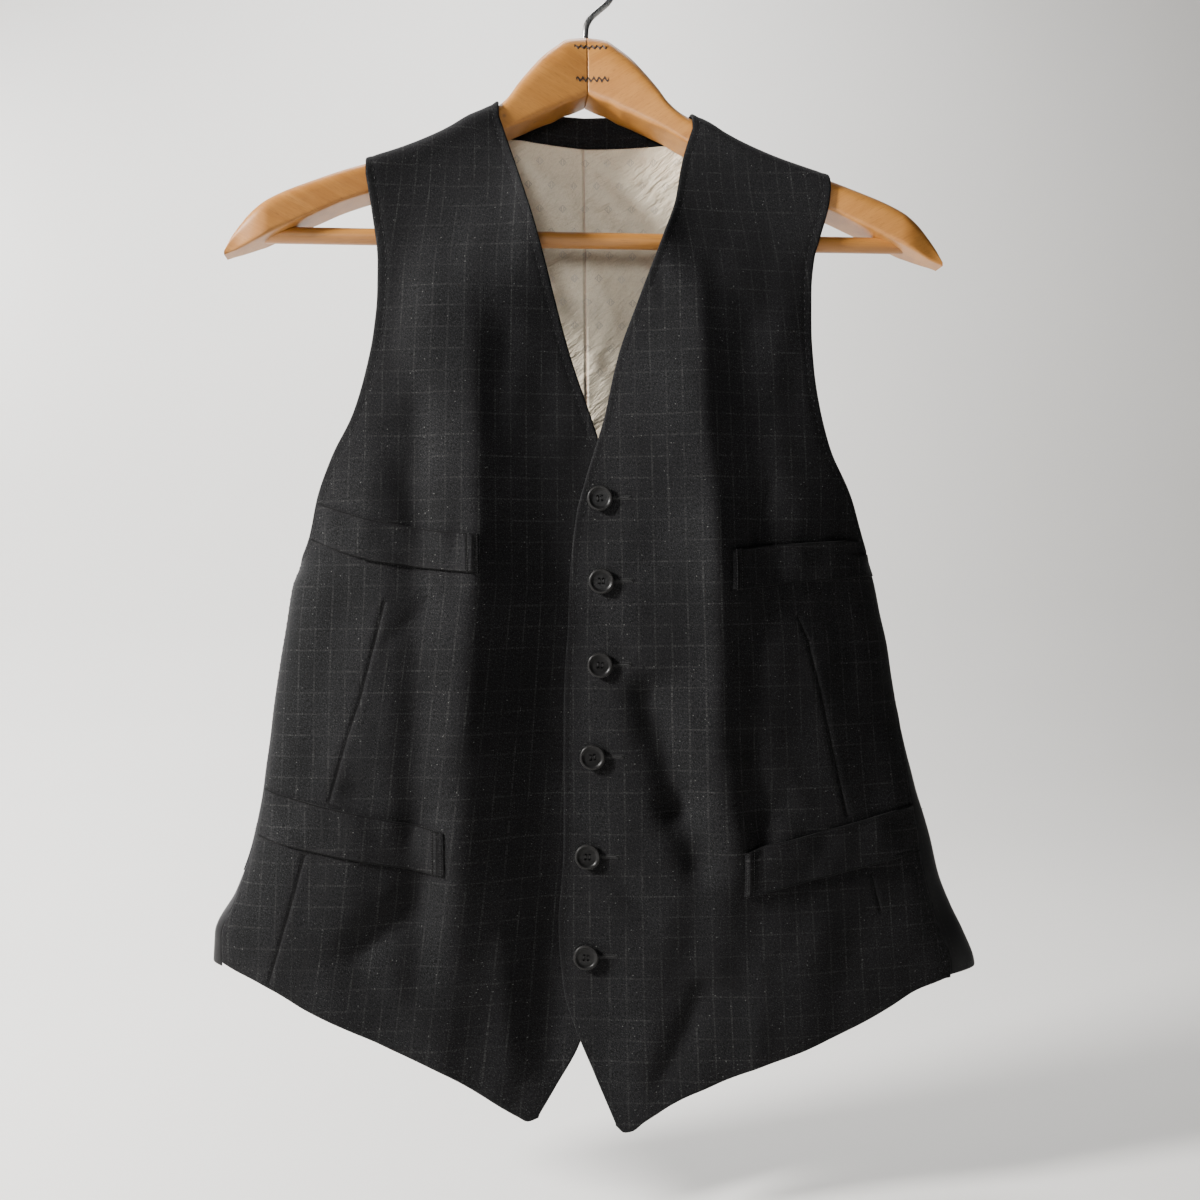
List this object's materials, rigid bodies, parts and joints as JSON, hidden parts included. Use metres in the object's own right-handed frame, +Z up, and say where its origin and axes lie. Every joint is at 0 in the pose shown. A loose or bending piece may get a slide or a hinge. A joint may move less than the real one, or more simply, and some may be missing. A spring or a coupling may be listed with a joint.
{
  "type": "suit waistcoat on a wooden hanger",
  "caption": "Buttoned dark wool suit waistcoat with a V-neck, pointed hem, welt pockets and satin back, hanging on a contoured wooden hanger with a trouser bar.",
  "frame": {"origin": "seat under the top of the hanger's hook, on the wire's inner side, where a rail carries it", "axes": "+Z up along the hanging garment, +X towards the wearer's left (the viewer's right), -Y towards the front of the waistcoat"},
  "size_m": [0.4784, 0.0913, 0.7378],
  "materials": {
    "wool_suiting": "matt dark charcoal wool with a faint flecked light-grey windowpane check",
    "back_satin": "plain dark satin with a soft sheen",
    "lining": "cream figured lining with a small woven diamond pattern",
    "button": "dark polished button",
    "buckle": "plain nickel-coloured slide buckle",
    "hanger_wood": "honey-coloured varnished wood with long grain",
    "hook_steel": "plain bright steel wire"
  },
  "bodies": {
    "root": {"front_left": "wool_suiting", "front_right": "wool_suiting", "back_neck_band": "wool_suiting", "welt_chest_left": "wool_suiting", "welt_chest_right": "wool_suiting", "welt_hip_left": "wool_suiting", "welt_hip_right": "wool_suiting", "back_left": "back_satin", "back_right": "back_satin", "back_strap_left": "back_satin", "back_strap_right": "back_satin", "back_lining": "lining", "button_1": "button", "button_2": "button", "button_3": "button", "button_4": "button", "button_5": "button", "button_6": "button", "back_buckle": "buckle", "hanger_left": "hanger_wood", "hanger_right": "hanger_wood", "hanger_bar": "hanger_wood", "hanger_hook": "hook_steel"}
  },
  "joints": []
}
